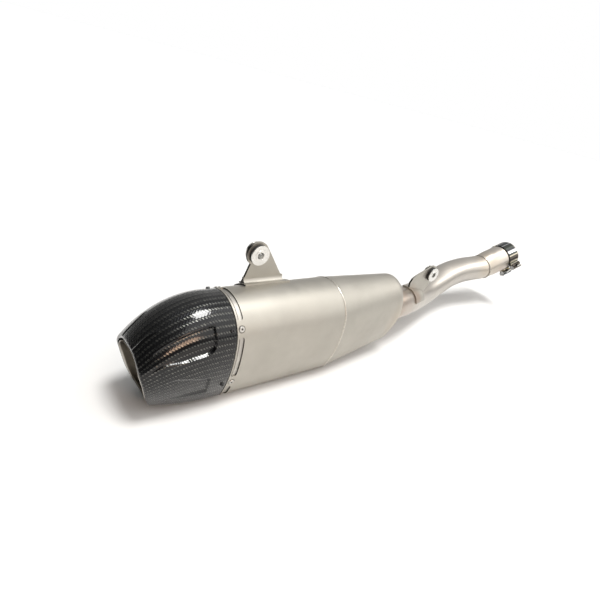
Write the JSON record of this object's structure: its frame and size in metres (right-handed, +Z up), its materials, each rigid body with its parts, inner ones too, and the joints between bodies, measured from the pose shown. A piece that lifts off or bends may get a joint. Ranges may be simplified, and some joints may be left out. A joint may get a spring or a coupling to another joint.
{
  "type": "motorcycle exhaust muffler",
  "caption": "Slip-on motorcycle exhaust silencer: arched metal can with woven carbon end cap, bent link pipe with slip-fit inlet, rubber-bushed hanger brackets and a band clamp.",
  "frame": {"origin": "centre of the inlet socket's mouth, on its bore axis", "axes": "+Y along the can towards the inlet end, +X outboard (the side with the bush heads), +Z up"},
  "size_m": [0.1354, 0.8653, 0.1737],
  "materials": {
    "titanium": "satin, faint brushing; stands for titanium sheet",
    "titanium_tube": "satin drawn tube; stands for titanium tube",
    "weld_bead": "rippled bead",
    "rivet_steel": "bright",
    "carbon": "2x2 twill carbon under clear gloss resin",
    "screw_black": "black oxide, semi-gloss",
    "liner_steel": "heat-tinted",
    "inner_steel": "plain sheet",
    "packing_wool": "glass wool",
    "rubber": "matte",
    "bush_steel": "turned, satin",
    "clamp_steel": "polished stainless strip",
    "clamp_pin": "zinc plated",
    "bolt_steel": "zinc plated"
  },
  "bodies": {
    "muffler": {"outer_sleeve": "titanium", "front_cone": "titanium", "seam_weld": "weld_bead", "end_ring": "inner_steel", "ring_rivets": "rivet_steel", "end_cap": "carbon", "cap_screws": "screw_black", "outlet_liner": "liner_steel", "outlet_tube": "inner_steel", "rear_baffle": "inner_steel", "front_baffle": "inner_steel", "core_tube": "inner_steel", "packing": "packing_wool", "rear_bracket": "titanium", "rear_grommet": "rubber", "nose_weld": "weld_bead", "link_pipe": "titanium_tube", "socket_weld": "weld_bead", "inlet_socket": "titanium_tube", "front_bracket": "titanium", "front_bracket_weld": "weld_bead", "front_grommet": "rubber"},
    "rear_bush": {"rear_bush_outer": "bush_steel", "rear_bush_inner": "bush_steel"},
    "front_bush": {"front_bush_outer": "bush_steel", "front_bush_inner": "bush_steel"},
    "clamp": {"clamp_band": "clamp_steel", "clamp_bridge": "clamp_steel", "clamp_plain_barrel": "clamp_pin", "clamp_nut_barrel": "clamp_pin", "clamp_spacer": "clamp_pin"},
    "clamp_bolt": {"clamp_bolt": "bolt_steel"}
  },
  "joints": [
    {"name": "rear_bush_turn", "type": "hinge", "parent": "muffler", "child": "rear_bush", "pos_m": [0.033, -0.705, 0.0485], "axis": [1, 0, 0], "continuous": true},
    {"name": "front_bush_turn", "type": "hinge", "parent": "muffler", "child": "front_bush", "pos_m": [0.04, -0.347, -0.002], "axis": [1, 0, 0], "continuous": true},
    {"name": "clamp_turn", "type": "hinge", "parent": "muffler", "child": "clamp", "pos_m": [-0.00112, -0.01604, -0.00553], "axis": [0.066, 0.9432, 0.3256], "continuous": true},
    {"name": "clamp_bolt_turn", "type": "hinge", "parent": "clamp", "child": "clamp_bolt", "pos_m": [0.02568, -0.01141, -0.02436], "axis": [-0.5822, 0.3014, -0.7551], "continuous": true}
  ]
}
